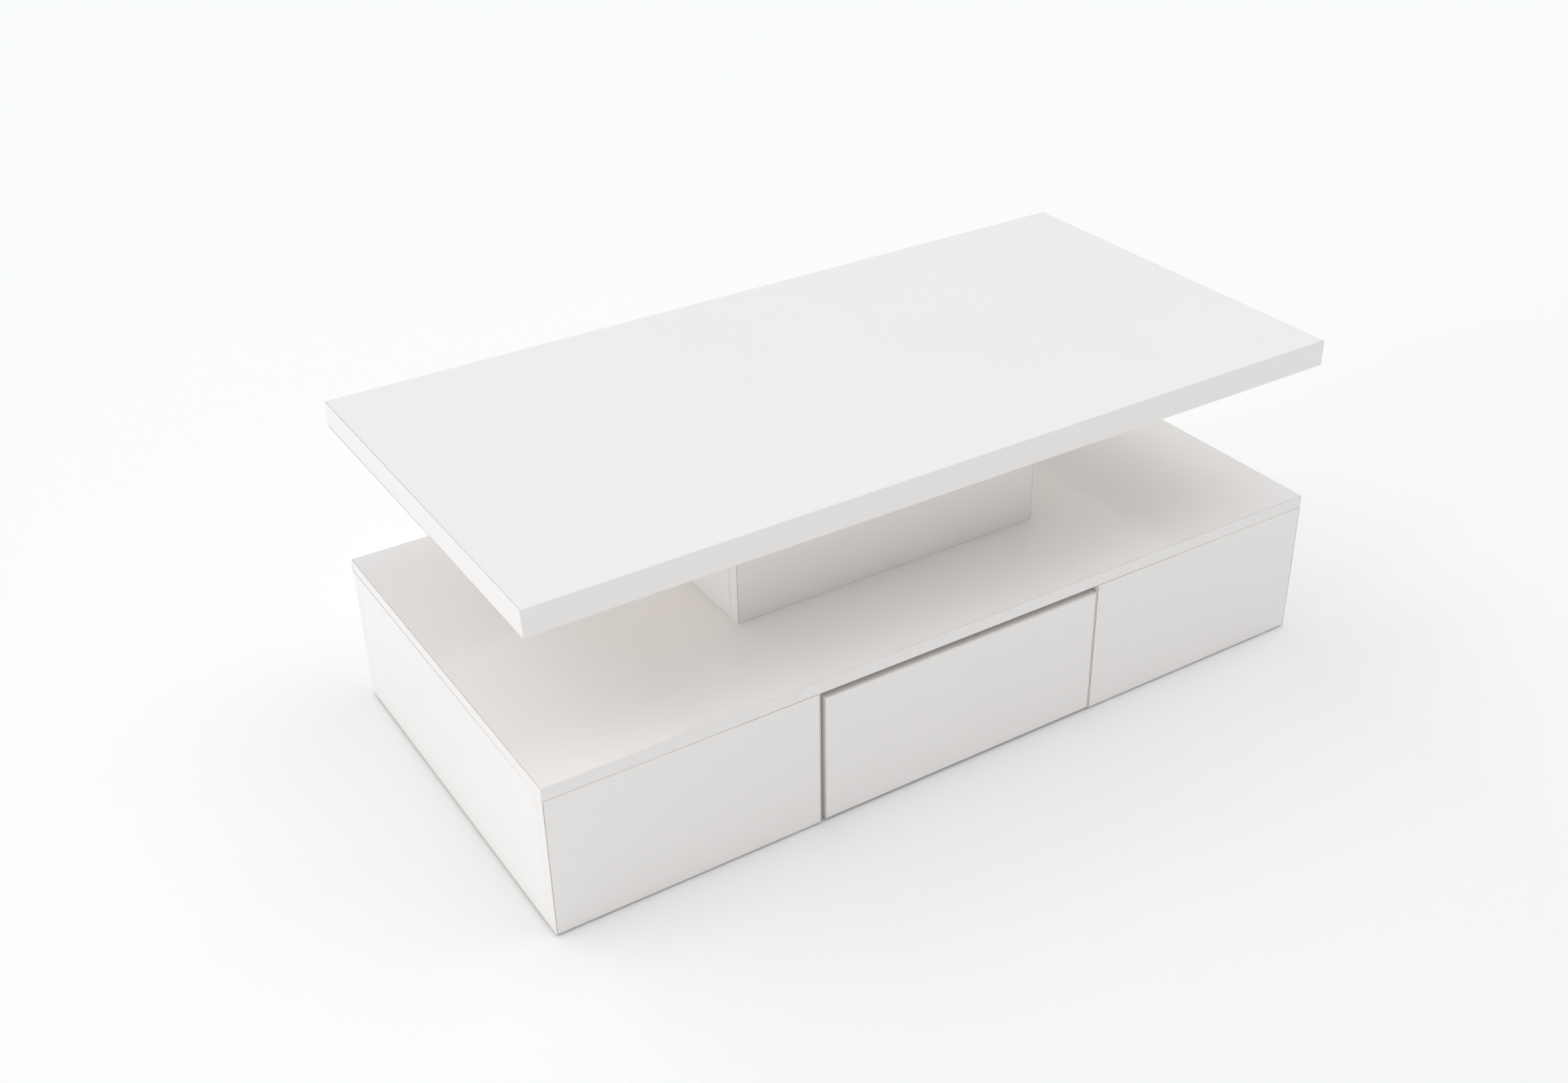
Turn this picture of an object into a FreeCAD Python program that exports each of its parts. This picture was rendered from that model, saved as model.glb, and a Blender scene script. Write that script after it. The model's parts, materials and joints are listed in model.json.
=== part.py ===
"""Lift-top coffee table: a low carcass with one drawer, a box pedestal standing on it, and a thick top.

The top rests on the pedestal. A pair of spring-assisted parallelogram lift units inside the pedestal
carries it up and towards the drawer side. Millimetres, +Z up, +X to the right, the drawer faces -Y.
Origin: on the floor, under the middle of the table. Every solid is drawn with the drawer shut and the top down.
"""

import FreeCAD, Part

import math
import os

V = FreeCAD.Vector

# Overall sizes
LENGTH = 1200.0  # carcass and top, along X
WIDTH = 600.0  # carcass and top, along Y
BOARD = 18.0  # melamine-faced chipboard
BAND = 1.0  # edge banding glued to the boards' visible edges
GLIDE_HEIGHT = 3.0  # glides lift the carcass off the floor
CARCASS_HEIGHT = 202.0  # upright boards, from the glides to the shelf
PEDESTAL_LENGTH = 480.0
PEDESTAL_WIDTH = 268.0
PEDESTAL_HEIGHT = 204.0
BUMPER_HEIGHT = 2.0  # rubber bumpers between the pedestal and the top
TOP_THICKNESS = 36.0
HOLE_CLEARANCE = 0.05  # radial, round every fastener

# Levels and planes that follow from them
HALF_L = LENGTH / 2
HALF_W = WIDTH / 2
CARCASS_BASE = GLIDE_HEIGHT
SHELF_UNDER = CARCASS_BASE + CARCASS_HEIGHT
SHELF_TOP = SHELF_UNDER + BOARD
PEDESTAL_RIM = SHELF_TOP + PEDESTAL_HEIGHT
TOP_UNDER = PEDESTAL_RIM + BUMPER_HEIGHT
TABLE_HEIGHT = TOP_UNDER + TOP_THICKNESS
INSIDE_FRONT = HALF_W - BOARD  # inner faces of the front and back boards, from Y = 0
INSIDE_SIDE = HALF_L - BOARD  # inner faces of the side boards, from X = 0
BAY = PEDESTAL_LENGTH / 2 - BOARD  # half the drawer bay: the dividers stand under the pedestal's sides
PEDESTAL_HALF_L = PEDESTAL_LENGTH / 2
PEDESTAL_HALF_W = PEDESTAL_WIDTH / 2
PEDESTAL_INSIDE_W = PEDESTAL_HALF_W - BOARD
UPRIGHT_MID = BAY + BOARD / 2  # middle of a divider's or a pedestal side's thickness

# Bottom board
BOTTOM_RAISE = 10.0  # above the uprights' lower edges
BOTTOM_UNDER = CARCASS_BASE + BOTTOM_RAISE
BOTTOM_TOP = BOTTOM_UNDER + BOARD
DRAWER_NOTCH = 2.0  # set-back of the bottom board behind the drawer front

# Drawer
FRONT_GAP_LEFT = 6.0
FRONT_GAP_RIGHT = 1.2
FRONT_GAP_TOP = 10.0  # finger gap: the drawer has no handle
FRONT_GAP_FLOOR = 2.0
BOX_SIDE = 12.0  # drawer box boards
BOX_DEPTH = 450.0
BOX_LOW = 45.0
BOX_HIGH = 175.0
BOX_BOTTOM = 4.0  # hardboard bottom, held in a groove
GROOVE_DEPTH = 5.0
GROOVE_LOW = 52.0
SLIDE_THICKNESS = 12.7
SLIDE_LEVEL = 95.0
SLIDE_SHEET = 1.2
SLIDE_FRONT = -INSIDE_FRONT + DRAWER_NOTCH
BALL_RADIUS = 2.25
BALLS_PER_ROW = 9
BALL_PITCH = 14.0
CAGE_MIDDLE = -55.0  # keeps the ball cages between the members at full travel

# Lift units: Y and Z of the arms' lower pivots, and the arms' length and angle with the top down
FRONT_PIVOT = (-75.0, 348.0)
REAR_PIVOT = (-35.0, 298.0)
ARM_LENGTH = 125.0
ARM_REST_ANGLE = math.radians(-25.0)  # from +Y towards +Z
ARM_OPEN_ANGLE = math.radians(102.0)  # past upright, so that the raised top leans on the stops
STEEL = 3.0  # plates, arms and brackets
ARM_WIDTH = 20.0
PLATE_FACE = BAY - STEEL  # inner face of the base plate
ARM_OUTER = PLATE_FACE - 2.5
ARM_INNER = ARM_OUTER - STEEL
BRACKET_OUTER = ARM_INNER - 1.0
BRACKET_INNER = BRACKET_OUTER - STEEL
BRACKET_FLANGE = 27.0
BRACKET_HALF = 105.0
PIN_RADIUS = 4.0
SHAFT_RADIUS = 6.0
SPRING_WIRE = 4.0
SPRING_RADIUS = 15.0
SPRING_TURNS = 13.25
SPRING_OUTER_END = 203.0
SPRING_PITCH = 4.3
SPRING_BASE_LEG = 42.0
SPRING_ARM_LEG = 26.0
PLATE_PIN_RADIUS = 3.0

# Torsion-box top
SKIN = 3.0
RAIL_WIDTH = 60.0
RIB_WIDTH = 18.0

nodes = {}


def add(name, *solids):
    """Registers one node, made of one or more separate solids."""
    nodes[name] = list(solids)


def block(x, y, z):
    """A box from a (low, high) pair on each axis."""
    return Part.makeBox(x[1] - x[0], y[1] - y[0], z[1] - z[0], V(x[0], y[0], z[0]))


def rod(radius, start, end):
    """A cylinder between two points."""
    start, end = V(*start), V(*end)
    return Part.makeCylinder(radius, (end - start).Length, start, end - start)


def mirrored(shape):
    """The same piece on the other side of the X = 0 plane."""
    return shape.mirror(V(0, 0, 0), V(1, 0, 0))


def both(shapes):
    """Left and right copies of each shape, made from the right one."""
    return [copy for shape in shapes for copy in (mirrored(shape), shape)]


def prism(points, low, high):
    """A plate with its outline given as (Y, Z) points, from X = low to X = high."""
    corners = [V(low, y, z) for y, z in points]
    return Part.Face(Part.makePolygon(corners + corners[:1])).extrude(V(high - low, 0, 0))


def round_corners(plate, radius):
    """Fillets the edges of a plate that run along X."""
    edges = [e for e in plate.Edges if abs(e.tangentAt(e.FirstParameter).x) > 0.99]
    return plate.makeFillet(radius, edges)


def set_on_axes(shape, corner, along, side, normal):
    """Moves a shape drawn at the origin so that its X, Y and Z run along the three directions, from corner."""
    shape.Placement = FreeCAD.Placement(
        FreeCAD.Matrix(
            along.x, side.x, normal.x, corner.x,
            along.y, side.y, normal.y, corner.y,
            along.z, side.z, normal.z, corner.z,
            0, 0, 0, 1,
        )
    )
    return shape


def cross_recess(mouth, face, width, reach, depth):
    """The two bars of a screwdriver cross, cut to depth behind mouth; face points out of the metal."""
    upright = V(0, 0, 1) if abs(face.z) < 0.5 else V(0, 1, 0)
    bars = []
    for along in (upright, face.cross(upright)):
        side = face.cross(along)
        corner = mouth - face * depth - along * reach - side * (width / 2)
        bars.append(set_on_axes(Part.makeBox(2 * reach, width, depth), corner, along, side, face))
    return bars


def pan_screw(point, direction, length, radius=2.0, head_radius=4.0, head=2.2):
    """A screw whose domed head sits on point, and whose shank runs along direction."""
    point, direction = V(*point), V(*direction)
    shank = Part.makeCylinder(radius, length - radius, point, direction)
    tip = Part.makeCone(radius, 0.3, radius, point + direction * (length - radius), direction)
    cap = Part.makeCylinder(head_radius, head, point, direction * -1)
    rim = [e for e in cap.Edges if (e.CenterOfMass - point).Length > head * 0.9 and e.Closed]
    screw = cap.makeFillet(head * 0.6, rim).fuse([shank, tip]).removeSplitter()
    return screw.cut(cross_recess(point - direction * head, direction * -1, 0.9, radius, head * 0.6))


def flush_screw(point, direction, length, radius=2.5, head_radius=5.0):
    """A countersunk screw whose flat head ends at point."""
    point, direction = V(*point), V(*direction)
    head = Part.makeCone(head_radius, radius, head_radius - radius, point, direction)
    shank = Part.makeCylinder(radius, length, point, direction)
    recess = cross_recess(point, direction * -1, radius * 0.4, radius, radius * 0.8)
    return head.fuse(shank).removeSplitter().cut(recess)


def flush_hole(point, direction, length, radius=2.5, head_radius=5.0):
    """The hole that a countersunk screw fills, a little wider."""
    point, direction = V(*point), V(*direction)
    gap = HOLE_CLEARANCE
    head = Part.makeCone(head_radius + gap, radius + gap, head_radius - radius, point, direction)
    return head.fuse(Part.makeCylinder(radius + gap, length + gap, point, direction))


# ---------------------------------------------------------------- boards

boards = {}
holes = []


def make_carcass():
    """Shelf, sides, back, fixed fronts, bottom and dividers, before drilling."""
    upright = (CARCASS_BASE + BAND, SHELF_UNDER)
    plain = (CARCASS_BASE, SHELF_UNDER)
    inside = (-INSIDE_FRONT, INSIDE_FRONT)
    boards["shelf_panel"] = block(
        (-HALF_L + BAND, HALF_L - BAND), (-HALF_W + BAND, HALF_W - BAND), (SHELF_UNDER, SHELF_TOP)
    )
    side = block((INSIDE_SIDE, HALF_L), inside, plain)
    divider = block((BAY, BAY + BOARD), inside, (BOTTOM_TOP, SHELF_UNDER))
    front = block((BAY + BAND, HALF_L - BAND), (-HALF_W, -INSIDE_FRONT), upright)
    for name, right in (("side_panel", side), ("divider", divider), ("front_panel", front)):
        boards["left_" + name] = mirrored(right)
        boards["right_" + name] = right
    boards["back_panel"] = block((-HALF_L + BAND, HALF_L - BAND), (INSIDE_FRONT, HALF_W), upright)
    bottom = block((-INSIDE_SIDE, INSIDE_SIDE), inside, (BOTTOM_UNDER, BOTTOM_TOP))
    notch = block((-BAY, BAY), (-INSIDE_FRONT, SLIDE_FRONT), (BOTTOM_UNDER, BOTTOM_TOP))
    boards["bottom_panel"] = bottom.cut(notch)


def make_pedestal():
    """Four boards standing on the shelf: front and back run full length, the sides fit between them."""
    height = (SHELF_TOP, PEDESTAL_RIM - BAND)
    full = (-PEDESTAL_HALF_L + BAND, PEDESTAL_HALF_L - BAND)
    boards["pedestal_front"] = block(full, (-PEDESTAL_HALF_W, -PEDESTAL_INSIDE_W), height)
    boards["pedestal_back"] = block(full, (PEDESTAL_INSIDE_W, PEDESTAL_HALF_W), height)
    side = block((BAY, BAY + BOARD), (-PEDESTAL_INSIDE_W, PEDESTAL_INSIDE_W), height)
    boards["pedestal_left_side"] = mirrored(side)
    boards["pedestal_right_side"] = side


def frame_bands(half_x, half_y, z):
    """Banding round a flat panel: long strips over the ends of the short ones."""
    long_strip = block((-half_x, half_x), (half_y - BAND, half_y), z)
    short_strip = block((half_x - BAND, half_x), (-half_y + BAND, half_y - BAND), z)
    return [
        long_strip,
        long_strip.mirror(V(0, 0, 0), V(0, 1, 0)),
        *both([short_strip]),
    ]


def make_bands():
    """Edge banding of the shelf, the fixed fronts, the back board and the pedestal."""
    add("shelf_edge_bands", *frame_bands(HALF_L, HALF_W, (SHELF_UNDER, SHELF_TOP)))
    height = (CARCASS_BASE, SHELF_UNDER)
    foot = (CARCASS_BASE, CARCASS_BASE + BAND)
    front_y = (-HALF_W, -INSIDE_FRONT)
    back_y = (INSIDE_FRONT, HALF_W)
    front = [
        block((HALF_L - BAND, HALF_L), front_y, height),
        block((BAY, BAY + BAND), front_y, height),
        block((BAY + BAND, HALF_L - BAND), front_y, foot),
    ]
    back_end = block((HALF_L - BAND, HALF_L), back_y, height)
    back_foot = block((-HALF_L + BAND, HALF_L - BAND), back_y, foot)
    add("carcass_edge_bands", *both([*front, back_end]), back_foot)
    depths = ((-PEDESTAL_HALF_W, -PEDESTAL_INSIDE_W), (PEDESTAL_INSIDE_W, PEDESTAL_HALF_W))
    rim = (PEDESTAL_RIM - BAND, PEDESTAL_RIM)
    ends = [block((PEDESTAL_HALF_L - BAND, PEDESTAL_HALF_L), y, (SHELF_TOP, PEDESTAL_RIM)) for y in depths]
    long_rims = [block((-PEDESTAL_HALF_L + BAND, PEDESTAL_HALF_L - BAND), y, rim) for y in depths]
    side_rim = block((BAY, BAY + BOARD), (-PEDESTAL_INSIDE_W, PEDESTAL_INSIDE_W), rim)
    add("pedestal_edge_bands", *both([*ends, side_rim]), *long_rims)


# ---------------------------------------------------------------- joinery

DOWEL_RADIUS = 4.0
DOWEL_HALF = 15.0
CAM_RADIUS = 7.5
CAM_DEPTH = 12.5
CAM_DROP = 34.0  # centre of the cam below the joint
CAM_BOLT_RADIUS = 2.5
CAM_BOLT_HEAD = 3.4
CAM_HEAD_HALF = 3.0  # half the length of the bolt's head
CAM_HEAD_ROOM = 0.3  # radial, round the bolt's head
THREAD_DEPTH = 11.0
SHORT_END = 11.0  # dowel length that goes into the face of a board


def dowel(joint, direction):
    """A dowel with its short end beyond the joint, along direction, and the rest behind it."""
    joint, direction = V(*joint), V(*direction)
    tail = 2 * DOWEL_HALF - SHORT_END
    start = joint - direction * tail
    solid = Part.makeCylinder(DOWEL_RADIUS, 2 * DOWEL_HALF, start, direction)
    ends = [e for e in solid.Edges if e.Closed]
    radius = DOWEL_RADIUS + HOLE_CLEARANCE
    holes.append(Part.makeCylinder(radius, 2 * DOWEL_HALF + 1, start - direction * 0.5, direction))
    return solid.makeChamfer(0.8, ends)


def make_dowels():
    """Dowels of the carcass and the pedestal; every list names one side, and is mirrored."""
    up, down = (0, 0, 1), (0, 0, -1)
    front, back, right = (0, -1, 0), (0, 1, 0), (1, 0, 0)
    side_mid = HALF_L - BOARD / 2
    front_mid = HALF_W - BOARD / 2
    bottom_mid = BOTTOM_UNDER + BOARD / 2
    pairs = []
    for y in (-110, 110):
        pairs.append(((side_mid, y, SHELF_UNDER), up))
    for y in (-150, 150):
        pairs.append(((UPRIGHT_MID, y, SHELF_UNDER), up))
        pairs.append(((INSIDE_SIDE, y, bottom_mid), right))
    for z in (60, 150):
        for x in (side_mid, UPRIGHT_MID):
            pairs.append(((x, -INSIDE_FRONT, z), front))
            pairs.append(((x, INSIDE_FRONT, z), back))
    pairs.append(((400, -INSIDE_FRONT, bottom_mid), front))
    pairs.append(((420, -front_mid, SHELF_UNDER), up))
    for x in (150, 420):
        pairs.append(((x, INSIDE_FRONT, bottom_mid), back))
    pairs.append(((360, front_mid, SHELF_UNDER), up))
    for z in (SHELF_TOP + 45, SHELF_TOP + 160):
        pairs.append(((UPRIGHT_MID, -PEDESTAL_INSIDE_W, z), front))
        pairs.append(((UPRIGHT_MID, PEDESTAL_INSIDE_W, z), back))
    for y in (-70, 70):
        pairs.append(((UPRIGHT_MID, y, SHELF_TOP), down))
    solids = []
    for (x, y, z), direction in pairs:
        dx, dy, dz = direction
        solids.append(dowel((x, y, z), direction))
        solids.append(dowel((-x, y, z), (-dx, dy, dz)))
    add("dowels", *solids)


def cam_fitting(x, y, face):
    """Cam housing and bolt that pull an upright up to the shelf. face points out of the upright's inner face."""
    level = SHELF_UNDER - CAM_DROP
    face = V(*face)
    mouth = V(x, y, level) + face * (BOARD / 2)
    housing = Part.makeCylinder(CAM_RADIUS, CAM_DEPTH, mouth - face * CAM_DEPTH, face)
    way_radius = CAM_BOLT_HEAD + CAM_HEAD_ROOM
    way_low = (x, y, level - CAM_HEAD_HALF - 1)
    bolt_way = rod(way_radius, way_low, (x, y, level + CAM_RADIUS + 1))
    housing = housing.cut([bolt_way, *cross_recess(mouth, face, 1.4, 4.0, 2.0)])
    shank = rod(CAM_BOLT_RADIUS, (x, y, level), (x, y, SHELF_UNDER + THREAD_DEPTH))
    head = rod(CAM_BOLT_HEAD, (x, y, level - CAM_HEAD_HALF), (x, y, level + CAM_HEAD_HALF))
    pocket = Part.makeCylinder(CAM_RADIUS + HOLE_CLEARANCE, CAM_DEPTH, mouth - face * CAM_DEPTH, face)
    holes.append(pocket)
    holes.append(rod(way_radius, way_low, (x, y, SHELF_UNDER)))
    thread_end = SHELF_UNDER + THREAD_DEPTH + 0.5
    holes.append(rod(CAM_BOLT_RADIUS + HOLE_CLEARANCE, (x, y, SHELF_UNDER), (x, y, thread_end)))
    return housing, shank.fuse(head).removeSplitter()


def make_cams():
    """Cam fittings of the uprights, all on faces that the closed carcass hides."""
    side_mid = HALF_L - BOARD / 2
    front_mid = HALF_W - BOARD / 2
    places = []
    for sign in (-1, 1):
        for y in (-210, 210):
            places.append((sign * side_mid, y, (-sign, 0, 0)))
            places.append((sign * UPRIGHT_MID, y, (sign, 0, 0)))
        for x in (320, 520):
            places.append((sign * x, -front_mid, (0, 1, 0)))
        for x in (110, 470):
            places.append((sign * x, front_mid, (0, -1, 0)))
    made = [cam_fitting(*place) for place in places]
    add("cam_housings", *[housing for housing, bolt in made])
    add("cam_bolts", *[bolt for housing, bolt in made])


def make_board_screws():
    """Screws up through the bottom board into the dividers, and up through the shelf into the pedestal."""
    up = (0, 0, 1)
    mid = PEDESTAL_HALF_W - BOARD / 2
    places = [(sign * UPRIGHT_MID, y, BOTTOM_UNDER) for sign in (-1, 1) for y in (-200, 0, 200)]
    places += [(x, y, SHELF_UNDER) for x in (-150, 0, 150) for y in (-mid, mid)]
    length = 48.0
    for place in places:
        holes.append(flush_hole(place, up, length))
    add("board_screws", *[flush_screw(place, up, length) for place in places])


def make_glides():
    """Nail-on glides under the front and back boards."""
    radius, nail, depth = 8.0, 1.0, 12.0
    middle = HALF_W - BOARD / 2
    solids = []
    for x in (-560, -260, 260, 560):
        for y in (-middle, middle):
            foot = rod(radius, (x, y, 0), (x, y, GLIDE_HEIGHT))
            rim = [e for e in foot.Edges if e.Closed and e.CenterOfMass.z < 0.1]
            pin = rod(nail, (x, y, GLIDE_HEIGHT - 1), (x, y, GLIDE_HEIGHT + depth))
            solids.append(foot.makeFillet(1.5, rim).fuse(pin).removeSplitter())
            end = GLIDE_HEIGHT + depth + 0.5
            holes.append(rod(nail + HOLE_CLEARANCE, (x, y, CARCASS_BASE), (x, y, end)))
    add("floor_glides", *solids)


def make_bumpers():
    """Rubber bumpers on the pedestal's rim, which the top comes down on."""
    radius = 5.0
    middle = PEDESTAL_HALF_W - BOARD / 2
    solids = [
        rod(radius, (x, y, PEDESTAL_RIM), (x, y, TOP_UNDER))
        for x in (-UPRIGHT_MID, UPRIGHT_MID)
        for y in (-middle, middle)
    ]
    add("top_bumpers", *solids)


def drill():
    """Cuts every recorded hole out of the boards and bands it passes through."""
    targets = [(name, [shape]) for name, shape in boards.items()]
    targets.append(("carcass_edge_bands", nodes["carcass_edge_bands"]))
    for name, solids in targets:
        cut = []
        for solid in solids:
            mine = [h for h in holes if h.BoundBox.intersect(solid.BoundBox)]
            cut.append(solid.cut(mine).Solids[0] if mine else solid)
        add(name, *cut)


# ---------------------------------------------------------------- drawer


def channel(wall, lip, web, half, flange_from, flange_to):
    """A C-shaped slide member on the right-hand side, extruded along the slide.

    Distances run from the divider's face towards the drawer: the web spans wall to wall + web, and the
    two flanges span flange_from to flange_to at plus and minus half, lip thick.
    """
    length = (SLIDE_FRONT, SLIDE_FRONT + BOX_DEPTH)
    pieces = [block((BAY - wall - web, BAY - wall), length, (SLIDE_LEVEL - half, SLIDE_LEVEL + half))]
    for low in (SLIDE_LEVEL - half, SLIDE_LEVEL + half - lip):
        pieces.append(block((BAY - flange_to, BAY - flange_from), length, (low, low + lip)))
    return pieces[0].fuse(pieces[1:]).removeSplitter()


def web_slots(member, depth, places, radius):
    """Oval slots through a slide member's web, as (start, end) along Y."""
    for start, end in places:
        low, high = BAY - depth - SLIDE_SHEET - 1, BAY - depth + 1
        ends = [rod(radius, (low, y, SLIDE_LEVEL), (high, y, SLIDE_LEVEL)) for y in (start, end)]
        middle = block((low, high), (start, end), (SLIDE_LEVEL - radius, SLIDE_LEVEL + radius))
        member = member.cut([*ends, middle])
    return member


OUTER_HALF = 22.5
MIDDLE_HALF = 16.6
DRAWER_MEMBER_HALF = 10.7
OUTER_REACH = 9.6
MIDDLE_WALL = 3.4
MIDDLE_REACH = 10.6
DRAWER_MEMBER_FROM = 6.0
OUTER_CAGE = (4.0, 9.2)  # distances of a cage's two edges from the divider
INNER_CAGE = (5.4, 10.6)
BALL_ROOM = 0.1  # radial, round each ball in its cage
SCREW_PLACES = (-250.0, -90.0, 110.0)


def ball_cage(edges, half):
    """Two perforated strips with their balls, running above and below a slide member."""
    strip, side = 0.8, (BAY - edges[1], BAY - edges[0])
    centre = (side[0] + side[1]) / 2
    first = CAGE_MIDDLE - BALL_PITCH * (BALLS_PER_ROW - 1) / 2
    places = [first + BALL_PITCH * i for i in range(BALLS_PER_ROW)]
    ends = (places[0] - BALL_PITCH / 2, places[-1] + BALL_PITCH / 2)
    solids = []
    for level in (SLIDE_LEVEL - half, SLIDE_LEVEL + half):
        plate = block(side, ends, (level - strip / 2, level + strip / 2))
        wells = [
            rod(BALL_RADIUS + BALL_ROOM, (centre, y, level - strip), (centre, y, level + strip))
            for y in places
        ]
        solids.append(plate.cut(wells))
        solids += [Part.makeSphere(BALL_RADIUS, V(centre, y, level)) for y in places]
    return solids


def make_slides():
    """Three-member ball-bearing slides, left and right."""
    outer = channel(0, SLIDE_SHEET, SLIDE_SHEET, OUTER_HALF, 0, OUTER_REACH)
    middle = channel(MIDDLE_WALL, SLIDE_SHEET, SLIDE_SHEET, MIDDLE_HALF, MIDDLE_WALL, MIDDLE_REACH)
    inner_wall = SLIDE_THICKNESS - SLIDE_SHEET
    inner = channel(
        inner_wall, SLIDE_SHEET, SLIDE_SHEET, DRAWER_MEMBER_HALF, DRAWER_MEMBER_FROM, SLIDE_THICKNESS
    )
    screw_radius = 1.9
    openings = [(y - 0.01, y + 0.01) for y in SCREW_PLACES] + [(-200, -150), (0, 50)]
    outer = web_slots(outer, 0, openings, screw_radius + 0.2)
    inner = web_slots(inner, inner_wall, openings, screw_radius + 0.2)
    middle = web_slots(middle, MIDDLE_WALL, [(-200, -140), (20, 80)], 5.0)
    for name, member in (("cabinet", outer), ("middle", middle), ("drawer", inner)):
        add(f"slide_{name}_members", *both([member]))
    ball_gap_outer = (OUTER_HALF - SLIDE_SHEET + MIDDLE_HALF) / 2
    ball_gap_inner = (MIDDLE_HALF - SLIDE_SHEET + DRAWER_MEMBER_HALF) / 2
    add("slide_outer_ball_cages", *both(ball_cage(OUTER_CAGE, ball_gap_outer)))
    add("slide_inner_ball_cages", *both(ball_cage(INNER_CAGE, ball_gap_inner)))
    cabinet_screws, drawer_screws = [], []
    length, head = 12.0, 1.6
    for y in SCREW_PLACES:
        at_divider = (BAY - SLIDE_SHEET, y, SLIDE_LEVEL)
        at_drawer = (BAY - inner_wall, y, SLIDE_LEVEL)
        cabinet_screws.append(pan_screw(at_divider, (1, 0, 0), length, screw_radius, 3.6, head))
        drawer_screws.append(pan_screw(at_drawer, (-1, 0, 0), length, screw_radius, 3.6, head))
        radius = screw_radius + HOLE_CLEARANCE
        far = BAY + length
        for sign in (-1, 1):
            holes.append(rod(radius, (sign * BAY, y, SLIDE_LEVEL), (sign * far, y, SLIDE_LEVEL)))
    add("slide_cabinet_screws", *both(cabinet_screws))
    add("slide_drawer_screws", *both(drawer_screws))


def make_drawer():
    """Drawer box, its grooved-in bottom, and the front with its banding."""
    box_half = BAY - SLIDE_THICKNESS
    box_back = -INSIDE_FRONT + BOX_DEPTH
    high = (BOX_LOW, BOX_HIGH)
    inner_half = box_half - BOX_SIDE
    groove_x = inner_half + GROOVE_DEPTH
    groove_y = (-INSIDE_FRONT + BOX_SIDE - GROOVE_DEPTH, box_back - BOX_SIDE + GROOVE_DEPTH)
    groove = block((-groove_x, groove_x), groove_y, (GROOVE_LOW, GROOVE_LOW + BOX_BOTTOM + 0.2))
    side = block((inner_half, box_half), (-INSIDE_FRONT, box_back), high)
    across = (-inner_half, inner_half)
    box_front = block(across, (-INSIDE_FRONT, -INSIDE_FRONT + BOX_SIDE), high)
    box_rear = block(across, (box_back - BOX_SIDE, box_back), high)
    bottom = block(
        (-groove_x + 0.5, groove_x - 0.5),
        (groove_y[0] + 0.5, groove_y[1] - 0.5),
        (GROOVE_LOW, GROOVE_LOW + BOX_BOTTOM),
    )
    screws, screw_holes = drawer_box_screws(box_half, box_back)
    side = side.cut(groove)
    add("drawer_left_side", mirrored(side).cut([h for h in screw_holes if h.BoundBox.XMax < 0]))
    add("drawer_right_side", side.cut([h for h in screw_holes if h.BoundBox.XMin > 0]))
    add("drawer_box_front", box_front.cut([groove, *screw_holes]))
    add("drawer_box_back", box_rear.cut([groove, *screw_holes]))
    add("drawer_bottom", bottom)
    add("drawer_box_screws", *screws)
    make_drawer_front(screw_holes)


def drawer_box_screws(box_half, box_back):
    """Countersunk corner screws, and the holes for them and for the slides' and the front's screws."""
    radius, head_radius, length = 1.75, 3.5, 30.0
    screws, cuts = [], []
    for sign in (-1, 1):
        for y in (-INSIDE_FRONT + BOX_SIDE / 2, box_back - BOX_SIDE / 2):
            for z in (BOX_LOW + 25, BOX_HIGH - 20):
                at, along = (sign * box_half, y, z), (-sign, 0, 0)
                screws.append(flush_screw(at, along, length, radius, head_radius))
                cuts.append(flush_hole(at, along, length, radius, head_radius))
        for y in SCREW_PLACES:
            start, end = sign * (box_half + 1), sign * (box_half - BOX_SIDE + 1)
            cuts.append(rod(2.0, (start, y, SLIDE_LEVEL), (end, y, SLIDE_LEVEL)))
    return screws, cuts


def make_drawer_front(screw_holes):
    """The visible front: a board banded on all four edges, screwed on from inside the box."""
    x = (-BAY + FRONT_GAP_LEFT, BAY - FRONT_GAP_RIGHT)
    z = (CARCASS_BASE + FRONT_GAP_FLOOR, SHELF_UNDER - FRONT_GAP_TOP)
    y = (-HALF_W, -INSIDE_FRONT)
    board = block((x[0] + BAND, x[1] - BAND), y, (z[0] + BAND, z[1] - BAND))
    bands = [
        block(x, y, (z[0], z[0] + BAND)),
        block(x, y, (z[1] - BAND, z[1])),
        block((x[0], x[0] + BAND), y, (z[0] + BAND, z[1] - BAND)),
        block((x[1] - BAND, x[1]), y, (z[0] + BAND, z[1] - BAND)),
    ]
    seat = -INSIDE_FRONT + BOX_SIDE
    length, radius = 25.0, 2.0
    places = [(sx, seat, sz) for sx in (-150, 150) for sz in (BOX_LOW + 35, BOX_HIGH - 35)]
    cuts = [rod(radius + HOLE_CLEARANCE, p, (p[0], p[1] - length - 0.5, p[2])) for p in places]
    add("drawer_front", board.cut(cuts))
    add("drawer_front_edge_bands", *bands)
    add("drawer_front_screws", *[pan_screw(p, (0, -1, 0), length, radius, 4.0, 2.2) for p in places])
    nodes["drawer_box_front"] = [nodes["drawer_box_front"][0].cut(cuts)]


# ---------------------------------------------------------------- lift units


def arm_tip(pivot):
    """Upper pivot of an arm with the top down."""
    y, z = pivot
    return (
        y + ARM_LENGTH * math.cos(ARM_REST_ANGLE),
        z + ARM_LENGTH * math.sin(ARM_REST_ANGLE),
    )


FRONT_TIP = arm_tip(FRONT_PIVOT)
REAR_TIP = arm_tip(REAR_PIVOT)


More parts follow.
